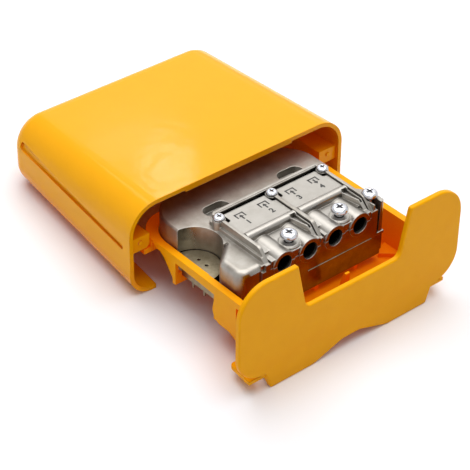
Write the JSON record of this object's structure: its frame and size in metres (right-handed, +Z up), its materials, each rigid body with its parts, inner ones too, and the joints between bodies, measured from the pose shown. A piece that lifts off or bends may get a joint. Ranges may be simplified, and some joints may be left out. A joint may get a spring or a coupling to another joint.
{
  "type": "antenna signal mixer",
  "caption": "Mast antenna mixer: a die-cast cable clamp block on a tray that slides out of a yellow plastic weather hood.",
  "frame": {"origin": "Middle of the underside of the whole part with the tray pulled out, on the level of the front plate's feet.", "axes": "+Z up, +Y from the front plate along the slide into the hood, +X to the right seen from the front plate."},
  "size_m": [0.1096, 0.1478, 0.0499],
  "materials": {
    "hood_plastic": "glossy moulded ABS",
    "tray_plastic": "satin moulded ABS",
    "die_cast_zinc": "satin die casting",
    "tinned_steel": "tinned sheet",
    "plated_screw": "bright zinc plated",
    "contact_brass": "nickel plated brass",
    "insulator_plastic": "dark brown plastic",
    "board": "bare phenolic board",
    "coil_wire": "enamelled copper wire",
    "capacitor_ceramic": "dipped ceramic disc"
  },
  "bodies": {
    "hood": {"hood": "hood_plastic"},
    "tray": {"tray": "tray_plastic", "mixer_housing": "die_cast_zinc", "base_pan": "tinned_steel", "front_ground_leg": "tinned_steel", "rear_ground_leg": "tinned_steel", "left_hinge_pin": "plated_screw", "right_hinge_pin": "plated_screw", "left_fixing_screw": "plated_screw", "right_fixing_screw": "plated_screw", "left_frame_screw": "plated_screw", "middle_frame_screw": "plated_screw", "right_frame_screw": "plated_screw", "insulator_1": "insulator_plastic", "insulator_2": "insulator_plastic", "insulator_3": "insulator_plastic", "insulator_4": "insulator_plastic", "centre_contact_1": "contact_brass", "centre_contact_2": "contact_brass", "centre_contact_3": "contact_brass", "centre_contact_4": "contact_brass", "circuit_board": "board", "shield_wall": "tinned_steel", "filter_coil_1": "coil_wire", "filter_coil_2": "coil_wire", "filter_coil_3": "coil_wire", "filter_capacitor_1": "capacitor_ceramic", "filter_capacitor_2": "capacitor_ceramic", "filter_capacitor_3": "capacitor_ceramic"},
    "left_lid": {"left_lid": "die_cast_zinc"},
    "right_lid": {"right_lid": "die_cast_zinc"},
    "left_clamp_screw": {"left_clamp_screw": "plated_screw"},
    "right_clamp_screw": {"right_clamp_screw": "plated_screw"},
    "earth_screw": {"earth_screw": "plated_screw"}
  },
  "joints": [
    {"name": "tray_slide", "type": "slide", "parent": "hood", "child": "tray", "axis": [0, -1, 0], "range_m": [-0.0633, 0]},
    {"name": "left_lid_hinge", "type": "hinge", "parent": "tray", "child": "left_lid", "pos_m": [-0.0128, -0.0264, 0.0419], "axis": [-1, 0, 0], "range_deg": [0, 100]},
    {"name": "right_lid_hinge", "type": "hinge", "parent": "tray", "child": "right_lid", "pos_m": [0.0128, -0.0264, 0.0419], "axis": [-1, 0, 0], "range_deg": [0, 100]},
    {"name": "left_clamp_screw_travel", "type": "slide", "parent": "left_lid", "child": "left_clamp_screw", "axis": [0, 0, 1], "range_m": [-0.0021, 0.001]},
    {"name": "right_clamp_screw_travel", "type": "slide", "parent": "right_lid", "child": "right_clamp_screw", "axis": [0, 0, 1], "range_m": [-0.0021, 0.001]},
    {"name": "earth_screw_travel", "type": "slide", "parent": "tray", "child": "earth_screw", "axis": [0, 0, 1], "range_m": [-0.0005, 0.003]}
  ]
}
